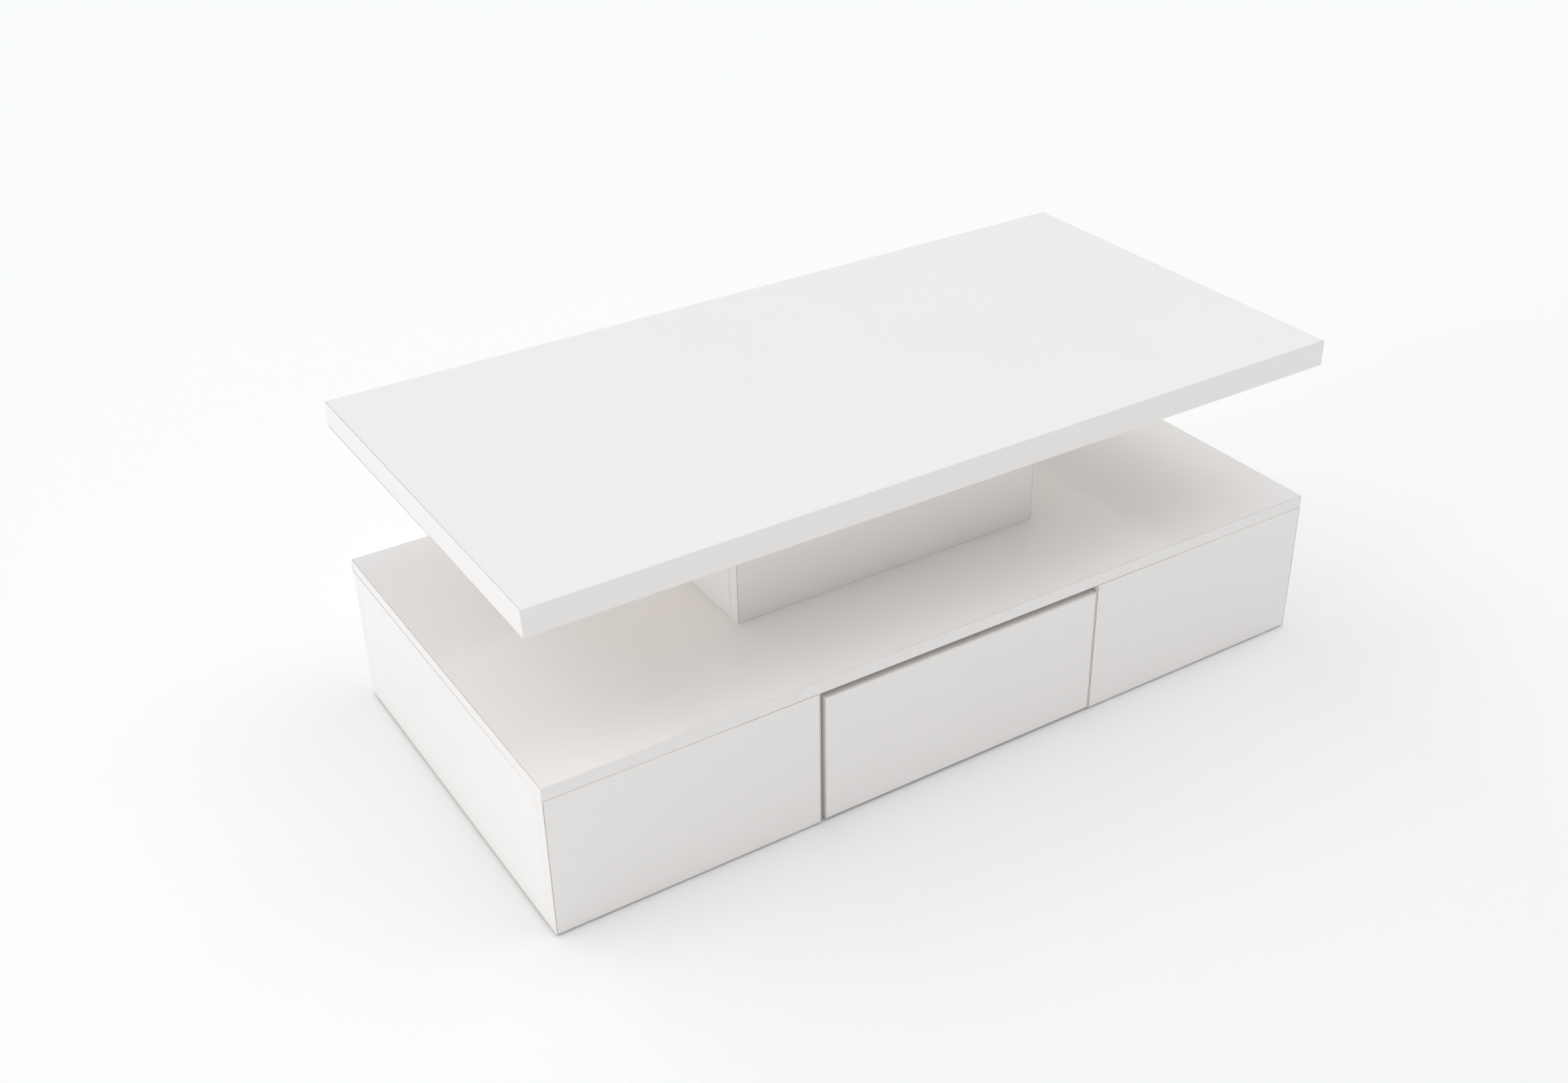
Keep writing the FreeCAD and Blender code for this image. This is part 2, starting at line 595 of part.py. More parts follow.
def arm(pivot, lower_radius, upper_radius):
    """A flat bar with round ends and a hole at each pivot."""
    tip = arm_tip(pivot)
    half = ARM_WIDTH / 2
    along = (math.cos(ARM_REST_ANGLE), math.sin(ARM_REST_ANGLE))
    across = (-along[1] * half, along[0] * half)
    corners = [
        (pivot[0] + across[0], pivot[1] + across[1]),
        (tip[0] + across[0], tip[1] + across[1]),
        (tip[0] - across[0], tip[1] - across[1]),
        (pivot[0] - across[0], pivot[1] - across[1]),
    ]
    bar = prism(corners, ARM_INNER, ARM_OUTER)
    ends = [rod(half, (ARM_INNER, y, z), (ARM_OUTER, y, z)) for y, z in (pivot, tip)]
    bores = [
        rod(radius, (ARM_INNER - 1, y, z), (ARM_OUTER + 1, y, z))
        for (y, z), radius in ((pivot, lower_radius), (tip, upper_radius))
    ]
    return bar.fuse(ends).removeSplitter().cut(bores)


def headed_pin(place, radius, start, end, heads):
    """A pin along X from start to end, with (head radius, from, to) discs on it."""
    y, z = place
    discs = [rod(head, (low, y, z), (high, y, z)) for head, low, high in heads]
    return rod(radius, (start, y, z), (end, y, z)).fuse(discs).removeSplitter()


def stop_pin_place():
    """Y and Z of the pin that the front arm leans on when the top is up."""
    reach, gap = 30.0, 0.1
    along = (math.cos(ARM_OPEN_ANGLE), math.sin(ARM_OPEN_ANGLE))
    side = ARM_WIDTH / 2 + PLATE_PIN_RADIUS + gap
    return (
        FRONT_PIVOT[0] + along[0] * reach - along[1] * side,
        FRONT_PIVOT[1] + along[1] * reach + along[0] * side,
    )


def make_base_plates():
    """Steel plates on the pedestal's sides, with the pivot pins, shaft bushes, spring anchors and screws."""
    outline = [
        (-105, SHELF_TOP + 5),
        (45, SHELF_TOP + 5),
        (45, SHELF_TOP + 28),
        (-8, 312),
        (-64, 366),
        (-82, 392),
        (-105, 392),
    ]
    plate = round_corners(prism(outline, PLATE_FACE, BAY), 8.0)
    bush_radius = SHAFT_RADIUS + 1.5
    anchor = (
        REAR_PIVOT[0] - SPRING_RADIUS - SPRING_WIRE / 2 - PLATE_PIN_RADIUS,
        REAR_PIVOT[1] - SPRING_BASE_LEG + 6.0,
    )
    stop = stop_pin_place()
    plate_pins = ((anchor, SPRING_OUTER_END - SPRING_WIRE), (stop, ARM_INNER + 0.5))
    cuts = [
        rod(radius + HOLE_CLEARANCE, (PLATE_FACE - 1, *place), (BAY + 1, *place))
        for place, radius in (
            (FRONT_PIVOT, PIN_RADIUS),
            (REAR_PIVOT, bush_radius),
            (anchor, PLATE_PIN_RADIUS),
            (stop, PLATE_PIN_RADIUS),
        )
    ]
    screw_places = [(-90, SHELF_TOP + 17), (30, SHELF_TOP + 16), (-90, 300), (-92, 340)]
    screw_radius = 2.2
    for y, z in screw_places:
        cuts.append(rod(screw_radius + 0.3, (PLATE_FACE - 1, y, z), (BAY + 1, y, z)))
    plate = plate.cut(cuts)
    add("left_lift_base_plate", mirrored(plate))
    add("right_lift_base_plate", plate)

    pin = headed_pin(
        FRONT_PIVOT, PIN_RADIUS, ARM_INNER - 2, BAY - 0.2,
        [(7.0, ARM_INNER - 2.2, ARM_INNER - 0.2), (7.0, ARM_OUTER + 0.2, PLATE_FACE)],
    )
    add("lift_front_pivot_pins", *both([pin]))
    bush = headed_pin(
        REAR_PIVOT, bush_radius, PLATE_FACE, BAY - 0.2, [(10.0, ARM_OUTER + 0.2, PLATE_FACE)]
    )
    shaft_way = rod(SHAFT_RADIUS + HOLE_CLEARANCE, (ARM_INNER, *REAR_PIVOT), (BAY + 1, *REAR_PIVOT))
    add("lift_shaft_bushes", *both([bush.cut(shaft_way)]))
    pins = [rod(PLATE_PIN_RADIUS, (start, *place), (BAY - 0.2, *place)) for place, start in plate_pins]
    add("spring_anchor_and_stop_pins", *both(pins))
    length = 15.0
    screws = [pan_screw((PLATE_FACE, y, z), (1, 0, 0), length, screw_radius, 4.2, 2.0) for y, z in screw_places]
    add("lift_base_screws", *both(screws))
    for y, z in screw_places:
        for sign in (-1, 1):
            end = sign * (PLATE_FACE + length + 0.5)
            holes.append(rod(screw_radius + HOLE_CLEARANCE, (sign * BAY, y, z), (end, y, z)))


def make_arms():
    """Rear arms on their common shaft, and front arms on their pins."""
    rear = arm(REAR_PIVOT, SHAFT_RADIUS + HOLE_CLEARANCE, PIN_RADIUS + HOLE_CLEARANCE)
    front = arm(FRONT_PIVOT, PIN_RADIUS + HOLE_CLEARANCE, PIN_RADIUS + 0.3)
    add("rear_arms", *both([rear]))
    add("front_arms", *both([front]))
    reach = BAY - 0.5
    add("rear_cross_shaft", rod(SHAFT_RADIUS, (-reach, *REAR_PIVOT), (reach, *REAR_PIVOT)))


def spring_inner_end():
    """X of the spring's inner end on the right-hand side."""
    return SPRING_OUTER_END - SPRING_PITCH * SPRING_TURNS


def make_springs():
    """Torsion springs round the shaft, with the collars that their inner legs push up on."""
    height = SPRING_PITCH * SPRING_TURNS
    helix = Part.makeHelix(SPRING_PITCH, height, SPRING_RADIUS)
    rise = SPRING_PITCH / (2 * math.pi)
    turned = 2 * math.pi * SPRING_TURNS
    start = V(SPRING_RADIUS, 0, 0)
    start_along = V(0, SPRING_RADIUS, rise).normalize()
    end = V(SPRING_RADIUS * math.cos(turned), SPRING_RADIUS * math.sin(turned), height)
    end_along = V(-SPRING_RADIUS * math.sin(turned), SPRING_RADIUS * math.cos(turned), rise).normalize()
    edges = [
        Part.makeLine(start - start_along * SPRING_BASE_LEG, start),
        *helix.Edges,
        Part.makeLine(end, end + end_along * SPRING_ARM_LEG),
    ]
    path = Part.Wire(edges)
    section = Part.Wire(
        Part.makeCircle(SPRING_WIRE / 2, start - start_along * SPRING_BASE_LEG, start_along)
    )
    spring = Part.Solid(path.makePipeShell([section], True, False))
    x, (y, z) = SPRING_OUTER_END, REAR_PIVOT
    set_on_axes(spring, V(x, y, z), V(0, -1, 0), V(0, 0, 1), V(-1, 0, 0))
    add("torsion_springs", *both([spring]))

    inner = spring_inner_end()
    ring_end, ring_start = inner - SPRING_WIRE - 1.5, inner - SPRING_WIRE - 11.5
    ring = rod(10.0, (ring_start, *REAR_PIVOT), (ring_end, *REAR_PIVOT))
    leg_top = z + SPRING_RADIUS + SPRING_WIRE / 2 + 0.1
    lug = block((ring_start, inner + 2), (y + 11, y + 21), (leg_top, leg_top + 5))
    neck = block((ring_start, ring_end), (y - 6, y + 21), (z + 5, leg_top + 5))
    bore = rod(SHAFT_RADIUS + HOLE_CLEARANCE, (ring_start - 1, *REAR_PIVOT), (ring_end + 1, *REAR_PIVOT))
    collar = ring.fuse([lug, neck]).removeSplitter().cut(bore)
    add("spring_collars", *both([collar]))


def make_brackets():
    """Angle brackets under the top that hang down to the arms' upper pivots, with their pins and screws."""
    under = TOP_UNDER
    outline = [
        (-BRACKET_HALF, under),
        (BRACKET_HALF, under),
        (BRACKET_HALF, under - 22),
        (REAR_TIP[0] + 12, REAR_TIP[1]),
        (REAR_TIP[0] + 4, REAR_TIP[1] - 12),
        (REAR_TIP[0] - 12, REAR_TIP[1] - 6),
        (FRONT_TIP[0] - 13, FRONT_TIP[1] - 6),
        (FRONT_TIP[0] - 16, FRONT_TIP[1] + 14),
        (-60, under - 24),
        (-BRACKET_HALF, under - 20),
    ]
    web = prism(outline, BRACKET_INNER, BRACKET_OUTER)
    window = round_corners(
        prism([(-20, under - 24), (80, under - 24), (72, 320), (45, 320)], BRACKET_INNER - 1, BRACKET_OUTER + 1),
        8.0,
    )
    flange = block(
        (BRACKET_INNER - BRACKET_FLANGE, BRACKET_OUTER), (-BRACKET_HALF, BRACKET_HALF), (under - STEEL, under)
    )
    bores = [
        rod(PIN_RADIUS + HOLE_CLEARANCE, (BRACKET_INNER - 1, *tip), (BRACKET_OUTER + 1, *tip))
        for tip in (FRONT_TIP, REAR_TIP)
    ]
    screw_x = BRACKET_INNER - BRACKET_FLANGE / 2 - 1
    screw_radius, length = 2.2, 24.0
    places = [(screw_x, y, under - STEEL) for y in (-90, -30, 30, 90)]
    bores += [rod(screw_radius + 0.3, (x, y, z - 1), (x, y, under + 1)) for x, y, z in places]
    bracket = web.cut(window).fuse(flange).removeSplitter().cut(bores)
    add("left_top_bracket", mirrored(bracket))
    add("right_top_bracket", bracket)
    pins = [
        headed_pin(
            tip, PIN_RADIUS, BRACKET_INNER - 2, ARM_OUTER + 1,
            [(7.0, BRACKET_INNER - 2.2, BRACKET_INNER - 0.1), (6.5, ARM_OUTER + 0.2, ARM_OUTER + 1.4)],
        )
        for tip in (FRONT_TIP, REAR_TIP)
    ]
    add("lift_upper_pivot_pins", *both(pins))
    screws = [pan_screw(place, (0, 0, 1), length, screw_radius, 4.2, 2.4) for place in places]
    add("top_bracket_screws", *both(screws))
    return [
        rod(screw_radius + HOLE_CLEARANCE, (sign * x, y, under), (sign * x, y, z + length + 0.5))
        for x, y, z in places
        for sign in (-1, 1)
    ]


# ---------------------------------------------------------------- top


def make_top(screw_holes):
    """Torsion box: two skins on a perimeter frame, cross ribs, solid blocks over the brackets, and banding."""
    low, high = TOP_UNDER + SKIN, TABLE_HEIGHT - SKIN
    half_x, half_y = HALF_L - BAND, HALF_W - BAND
    full = ((-half_x, half_x), (-half_y, half_y))
    add("top_upper_skin", block(*full, (high, TABLE_HEIGHT)))
    add("top_lower_skin", block(*full, (TOP_UNDER, low)).cut(screw_holes))
    inner_y = half_y - RAIL_WIDTH
    core = (low, high)
    long_rails = [block((-half_x, half_x), y, core) for y in ((-half_y, -inner_y), (inner_y, half_y))]
    end_rail = block((half_x - RAIL_WIDTH, half_x), (-inner_y, inner_y), core)
    add("top_long_rails", *long_rails)
    add("top_end_rails", *both([end_rail]))
    block_half = 40.0
    centre = BRACKET_INNER - BRACKET_FLANGE / 2
    mount = block((centre - block_half, centre + block_half), (-inner_y, inner_y), core)
    add("top_mounting_blocks", *[s.cut(screw_holes) for s in both([mount])])
    ribs = [
        block((x - RIB_WIDTH / 2, x + RIB_WIDTH / 2), (-inner_y, inner_y), core) for x in (320.0, 430.0)
    ]
    middle_ribs = [block((x, x + RIB_WIDTH), (-inner_y, inner_y), core) for x in (30.0, 90.0)]
    add("top_core_ribs", *both(ribs + middle_ribs))
    add("top_edge_bands", *frame_bands(HALF_L, HALF_W, (TOP_UNDER, TABLE_HEIGHT)))


# ---------------------------------------------------------------- assembly


def main():
    make_carcass()
    make_pedestal()
    make_bands()
    make_dowels()
    make_cams()
    make_board_screws()
    make_glides()
    make_bumpers()
    make_slides()
    make_drawer()
    make_base_plates()
    make_arms()
    make_springs()
    make_top(make_brackets())
    drill()
    os.makedirs("parts", exist_ok=True)
    for name, solids in nodes.items():
        shape = solids[0] if len(solids) == 1 else Part.makeCompound(solids)
        if not shape.isValid():
            raise ValueError(f"{name} is not a valid shape")
        shape.exportStep(f"parts/{name}.step")
    print(f"{len(nodes)} nodes, {sum(len(s) for s in nodes.values())} solids")


main()
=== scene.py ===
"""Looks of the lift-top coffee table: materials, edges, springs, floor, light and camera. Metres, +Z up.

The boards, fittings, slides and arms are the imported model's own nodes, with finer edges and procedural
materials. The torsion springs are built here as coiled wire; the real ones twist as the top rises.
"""

import json
import math

import bmesh
import bpy
from mathutils import Matrix, Vector


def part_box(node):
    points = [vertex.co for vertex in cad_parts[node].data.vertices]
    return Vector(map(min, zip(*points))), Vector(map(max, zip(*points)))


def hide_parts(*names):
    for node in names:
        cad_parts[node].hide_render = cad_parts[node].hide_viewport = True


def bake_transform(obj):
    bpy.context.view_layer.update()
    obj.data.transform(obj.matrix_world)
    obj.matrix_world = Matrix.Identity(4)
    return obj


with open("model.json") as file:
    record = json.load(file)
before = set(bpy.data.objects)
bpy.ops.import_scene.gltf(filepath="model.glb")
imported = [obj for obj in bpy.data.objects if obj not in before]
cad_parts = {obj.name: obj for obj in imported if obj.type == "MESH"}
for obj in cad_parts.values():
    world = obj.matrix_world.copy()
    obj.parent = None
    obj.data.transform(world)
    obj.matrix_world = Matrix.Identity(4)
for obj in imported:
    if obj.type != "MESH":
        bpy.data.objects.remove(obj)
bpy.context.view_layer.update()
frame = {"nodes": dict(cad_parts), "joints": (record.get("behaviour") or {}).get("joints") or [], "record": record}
NODES = frame["nodes"]
MM = 0.001

# Camera, at the photograph's angle. Azimuths go from the front towards the left, and angles are in degrees.
CAMERA_PLACE = (-1.1935, -1.8078, 1.4997)
CAMERA_AZIMUTH = 31.5
CAMERA_ELEVATION = 30.95
CAMERA_ROLL = -1.32
CAMERA_LENS = 41.17  # mm
SENSOR_WIDTH = 36.0  # mm

# Widths of rounded and trimmed edges
ARRIS = 0.42 * MM  # trimmed melamine arris, where the board's core shows and the seams' shade is painted
SEAM_ARRIS = 0.65 * MM  # the same on the fixed front panels, where its brown is core and painted shade of the gap under the shelf
BAND_ARRIS = 0.45 * MM  # rounded outer arris of the edge banding
DRAWER_ARRIS = 0.6 * MM
NYLON_ARRIS = 0.2 * MM
RUBBER_ARRIS = 0.6 * MM
METAL_ARRIS = 0.25 * MM

# Meshes
WELD_REACH = 0.01 * MM  # points closer than this are one
OUTLINE_REACH = 0.01 * MM  # edges closer than this to the board's outer box are on it
SHARP_ANGLE = math.radians(40)
CREASE_ANGLE = math.radians(30)
NORMALS_WEIGHT = 100


# ---------------------------------------------------------------- node helpers

NOISE_RANGE = (0.3, 0.7)


def shade(colour, share):
    """The colour, darkened or lightened."""
    return tuple(part * share for part in colour)


def set_stops(ramp, stops):
    """Gives a colour ramp its (position, colour) stops."""
    elements = ramp.color_ramp.elements
    while len(elements) < len(stops):
        elements.new(1.0)
    for element, (position, colour) in zip(elements, stops):
        element.position = position
        element.color = (*colour, 1.0)


class Shading:
    """A material being built: its node tree, its Principled shader, and short ways to add to them."""

    def __init__(self, name):
        self.material = bpy.data.materials.new(name)
        self.material.use_nodes = True
        self.tree = self.material.node_tree
        self.tree.nodes.clear()
        self.shader = self.tree.nodes.new("ShaderNodeBsdfPrincipled")
        output = self.tree.nodes.new("ShaderNodeOutputMaterial")
        self.link(self.shader.outputs[0], output.inputs["Surface"])
        coordinates = self.tree.nodes.new("ShaderNodeTexCoord")
        self.place = coordinates.outputs["Object"]
        self.facing = coordinates.outputs["Normal"]

    def link(self, source, target):
        self.tree.links.new(source, target)

    def feed(self, socket, value):
        """Sets a socket to a number, or links it to another node's output."""
        if isinstance(value, bpy.types.NodeSocket):
            self.link(value, socket)
        else:
            socket.default_value = value

    def plain(self, **values):
        """Constant values, set on the shader's own sockets."""
        for name, value in values.items():
            socket = name.replace("_", " ").title().replace("Ior", "IOR")
            self.shader.inputs[socket].default_value = value

    def surface(self, tone, gloss):
        """Links the colour and the roughness."""
        self.link(tone, self.shader.inputs["Base Color"])
        self.link(gloss, self.shader.inputs["Roughness"])

    def stretched(self, scale):
        """The place, scaled differently along each axis."""
        mapping = self.tree.nodes.new("ShaderNodeMapping")
        self.link(self.place, mapping.inputs["Vector"])
        mapping.inputs["Scale"].default_value = scale
        return mapping.outputs["Vector"]

    def noise(self, scale, detail=3.0, roughness=0.55, at=None, distortion=0.0):
        """Soft noise by place, about 0.5."""
        texture = self.tree.nodes.new("ShaderNodeTexNoise")
        self.link(at or self.place, texture.inputs["Vector"])
        texture.inputs["Scale"].default_value = scale
        texture.inputs["Detail"].default_value = detail
        texture.inputs["Roughness"].default_value = roughness
        texture.inputs["Distortion"].default_value = distortion
        return texture.outputs["Fac"]

    def cells(self, scale, output="Distance", at=None):
        """Scattered cells: the distance from their middles, or a colour for each."""
        texture = self.tree.nodes.new("ShaderNodeTexVoronoi")
        self.link(at or self.place, texture.inputs["Vector"])
        texture.inputs["Scale"].default_value = scale
        return texture.outputs[output]

    def ramp(self, value, stops):
        """Colour by value; stops are (position, colour) pairs."""
        ramp = self.tree.nodes.new("ShaderNodeValToRGB")
        self.link(value, ramp.inputs["Fac"])
        set_stops(ramp, stops)
        return ramp.outputs["Color"]

    def spread(self, value, low, high, out_low, out_high):
        """Maps low..high to out_low..out_high."""
        mapped = self.tree.nodes.new("ShaderNodeMapRange")
        self.link(value, mapped.inputs["Value"])
        mapped.inputs["From Min"].default_value = low
        mapped.inputs["From Max"].default_value = high
        mapped.inputs["To Min"].default_value = out_low
        mapped.inputs["To Max"].default_value = out_high
        return mapped.outputs["Result"]

    def vary(self, noise, out_low=0.0, out_high=1.0):
        """Maps the usual range of a noise to out_low..out_high."""
        return self.spread(noise, *NOISE_RANGE, out_low, out_high)

    def math(self, operation, first, second=0.0):
        """Arithmetic on numbers or sockets."""
        result = self.tree.nodes.new("ShaderNodeMath")
        result.operation = operation
        self.feed(result.inputs[0], first)
        self.feed(result.inputs[1], second)
        return result.outputs[0]

    def mix(self, share, first, second):
        """Colour mix: the first at share 0, the second at 1."""
        mixed = self.tree.nodes.new("ShaderNodeMix")
        mixed.data_type = "RGBA"
        self.feed(mixed.inputs["Factor"], share)
        for socket, colour in ((mixed.inputs[6], first), (mixed.inputs[7], second)):
            if isinstance(colour, tuple):
                colour = (*colour, 1.0)
            self.feed(socket, colour)
        return mixed.outputs[2]

    def bump(self, heights):
        """Chained bumps from (height, strength, distance in metres)."""
        normal = None
        for height, strength, distance in heights:
            bump = self.tree.nodes.new("ShaderNodeBump")
            self.link(height, bump.inputs["Height"])
            bump.inputs["Strength"].default_value = strength
            bump.inputs["Distance"].default_value = distance
            if normal is not None:
                self.link(normal, bump.inputs["Normal"])
            normal = bump.outputs["Normal"]
        self.link(normal, self.shader.inputs["Normal"])

    def along(self, axis, low=0.6, high=0.8):
        """1 where the surface faces along an axis (0, 1 or 2), 0 where it stands square to it."""
        split = self.tree.nodes.new("ShaderNodeSeparateXYZ")
        self.link(self.facing, split.inputs[0])
        return self.spread(self.math("ABSOLUTE", split.outputs[axis]), low, high, 0.0, 1.0)


# ---------------------------------------------------------------- materials

WARM_WHITE = (0.940, 0.900, 0.870)
CORE_BROWN = (0.22, 0.13, 0.08)
GLUE_BROWN = (0.40, 0.28, 0.20)
DIRT = (0.42, 0.36, 0.30)
LAMINATE_IOR = 1.5
BAND_IOR = 1.52
BAY_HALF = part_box("right_divider")[0].x  # half the drawer bay
SEAM_FADE = 0.22  # how far from the bay the painted shade of the gap under the shelf fades out


def chip_colours(shading):
    """Raw chipboard: its colour of several browns, its coarse chips and its fine ones."""
    coarse = shading.cells(420.0, "Color", at=shading.stretched((1.0, 1.0, 1.6)))
    fine = shading.noise(900.0, 4.0)
    tone = shading.ramp(
        coarse, [(0.0, (0.36, 0.25, 0.15)), (0.45, (0.52, 0.38, 0.24)), (1.0, (0.66, 0.52, 0.36))]
    )
    return shading.mix(shading.vary(fine, 0.0, 0.5), tone, (0.45, 0.32, 0.20)), coarse, fine


def laminate(name, white, roughness, core_axis=None):
    """A white-faced board: faint smudges and specks, and raw core where it faces away from core_axis."""
    shading = Shading(name)
    tone = shading.mix(shading.vary(shading.noise(2.3, 3.0)), white, shade(white, 0.985))
    speck_here = shading.spread(shading.noise(11.0, 1.0), 0.60, 0.64, 0.0, 1.0)
    speck_dot = shading.spread(shading.cells(28.0), 0.010, 0.018, 0.45, 0.0)
    tone = shading.mix(shading.math("MULTIPLY", speck_dot, speck_here), tone, DIRT)
    smudge = shading.noise(6.0, 4.0, 0.6, distortion=0.6)
    gloss = shading.spread(smudge, 0.40, 0.75, roughness, roughness + 0.06)
    waves = [(shading.noise(9.0, 2.0), 0.05, 0.0010), (shading.noise(1300.0, 2.0), 0.05, 0.00004)]
    if core_axis is not None:
        core, coarse, _ = chip_colours(shading)
        face = shading.along(core_axis)
        tone = shading.mix(face, core, tone)
        gloss = shading.math("ADD", gloss, shading.spread(face, 0.0, 1.0, 0.85, 0.0))
        chips = shading.math("MULTIPLY", coarse, shading.spread(face, 0.0, 1.0, 1.0, 0.0))
        waves.append((chips, 0.5, 0.0003))
    shading.surface(tone, gloss)
    shading.bump(waves)
    shading.plain(ior=LAMINATE_IOR)
    return shading.material


def edge_band(name, white):
    """Glued-on plastic banding, trimmed and buffed along its length."""
    shading = Shading(name)
    streak = shading.noise(35.0, 4.0, at=shading.stretched((1.0, 1.0, 12.0)))
    tone = shading.mix(shading.vary(streak), white, shade(white, 0.985))
    shading.surface(tone, shading.vary(shading.noise(14.0, 3.0), 0.27, 0.34))
    shading.bump([(shading.noise(700.0, 2.0), 0.03, 0.00005), (shading.noise(6.0, 1.0), 0.03, 0.0006)])
    shading.plain(ior=BAND_IOR)
    return shading.material


def arris_core_and_seam_shade(name, white, share, end_share, gap_shade_share=None):
    """A board's trimmed arris: brown core and glue that come and go, and painted shade of the seams between
    boards.

    share is how much brown shows, and end_share the same on arrises that face left or right. The last argument is
    painted shade of the gap under the shelf: extra brown next to the drawer bay, fading out along the board.
    """
    shading = Shading(name)
    broken = shading.noise(60.0, 5.0, 0.7)
    fine = shading.noise(600.0, 2.0)
    brown = shading.mix(shading.vary(fine), CORE_BROWN, GLUE_BROWN)
    reach = shading.spread(shading.along(0, 0.3, 0.6), 0.0, 1.0, share, end_share)
    # Painted shade of the gap under the shelf: darkest next to the drawer bay, fading along the board
    if gap_shade_share is not None:
        split = shading.tree.nodes.new("ShaderNodeSeparateXYZ")
        shading.link(shading.place, split.inputs[0])
        distance = shading.math("ABSOLUTE", split.outputs[0])
        gap_shade = shading.spread(distance, BAY_HALF, BAY_HALF + SEAM_FADE, gap_shade_share - share, 0.0)
        reach = shading.math("ADD", reach, gap_shade)
    patchy = shading.math("MULTIPLY", reach, shading.spread(broken, 0.38, 0.60, 0.55, 1.0))
    shading.surface(shading.mix(patchy, white, brown), shading.vary(fine, 0.55, 0.8))
    shading.bump([(fine, 0.3, 0.0001)])
    return shading.material


def raw_chipboard(name):
    """Unfaced chipboard of the top's hidden core."""
    shading = Shading(name)
    tone, coarse, fine = chip_colours(shading)
    shading.surface(tone, shading.vary(fine, 0.75, 0.95))
    shading.bump([(coarse, 0.5, 0.0003), (fine, 0.3, 0.0002)])
    return shading.material


def beech(name):
    """Turned beech of the dowels, with short dark rays."""
    shading = Shading(name)
    grain = shading.noise(80.0, 5.0, 0.6, at=shading.stretched((1.0, 1.0, 0.1)))
    rays = shading.cells(600.0, at=shading.stretched((1.0, 1.0, 0.25)))
    tone = shading.ramp(grain, [(0.3, (0.56, 0.38, 0.22)), (0.7, (0.74, 0.56, 0.36))])
    tone = shading.mix(shading.spread(rays, 0.0, 0.25, 0.5, 0.0), tone, (0.38, 0.22, 0.12))
    shading.surface(tone, shading.vary(grain, 0.55, 0.7))
    shading.bump([(rays, 0.2, 0.0001)])
    return shading.material


def metal(name, colour, roughness, streak_scale, stretch=(1.0, 1.0, 1.0), spangle=0.0):
    """Bare or plated steel: streaks along the work, a little spread of tone, and zinc spangle if asked."""
    shading = Shading(name)
    streak = shading.noise(streak_scale, 4.0, 0.6, at=shading.stretched(stretch))
    tone = shading.mix(shading.vary(streak), colour, shade(colour, 0.82))
    if spangle:
        patch = shading.cells(120.0, "Color")
        tone = shading.mix(shading.spread(patch, 0.0, 1.0, 0.0, spangle), tone, shade(colour, 1.15))
    shading.surface(tone, shading.spread(streak, 0.25, 0.75, roughness - 0.06, roughness + 0.10))
    shading.bump([(streak, 0.06, 0.00005)])
    shading.plain(metallic=1.0)
    return shading.material


def powder_coat(name, colour):
    """Fine-textured powder coat over steel."""
    shading = Shading(name)
    grain = shading.noise(1500.0, 2.0)
    lump = shading.cells(900.0)
    cloud = shading.noise(20.0, 3.0)
    tone = shading.mix(shading.vary(cloud), colour, shade(colour, 1.5))
    shading.surface(tone, shading.vary(grain, 0.40, 0.58))
    shading.bump([(grain, 0.25, 0.0001), (lump, 0.2, 0.0001)])
    return shading.material


def moulded(name, colour):
    """Moulded nylon, with a faint spark-eroded texture."""
    shading = Shading(name)
    grain = shading.noise(1200.0, 3.0)
    cloud = shading.noise(40.0, 2.0)
    tone = shading.mix(shading.vary(cloud), colour, shade(colour, 0.9))
    shading.surface(tone, shading.vary(grain, 0.39, 0.53))
    shading.bump([(grain, 0.2, 0.00008)])
    return shading.material


def soft_rubber(name, colour):
    """Milky bumper rubber, which takes some light inside."""
    shading = Shading(name)
    cloud = shading.noise(300.0, 2.0)
    tone = shading.mix(shading.vary(cloud), colour, shade(colour, 0.93))
    shading.surface(tone, shading.vary(cloud, 0.30, 0.42))
    shading.bump([(cloud, 0.1, 0.0001)])
    shading.plain(subsurface_weight=0.3, subsurface_scale=0.002)
    return shading.material


def floor_paint(name, colour):
    """Plain pale studio floor."""
    shading = Shading(name)
    tone = shading.mix(shading.vary(shading.noise(0.7, 3.0)), colour, shade(colour, 0.995))
    shading.link(tone, shading.shader.inputs["Base Color"])
    shading.plain(roughness=0.9, specular_ior_level=0.1)
    return shading.material


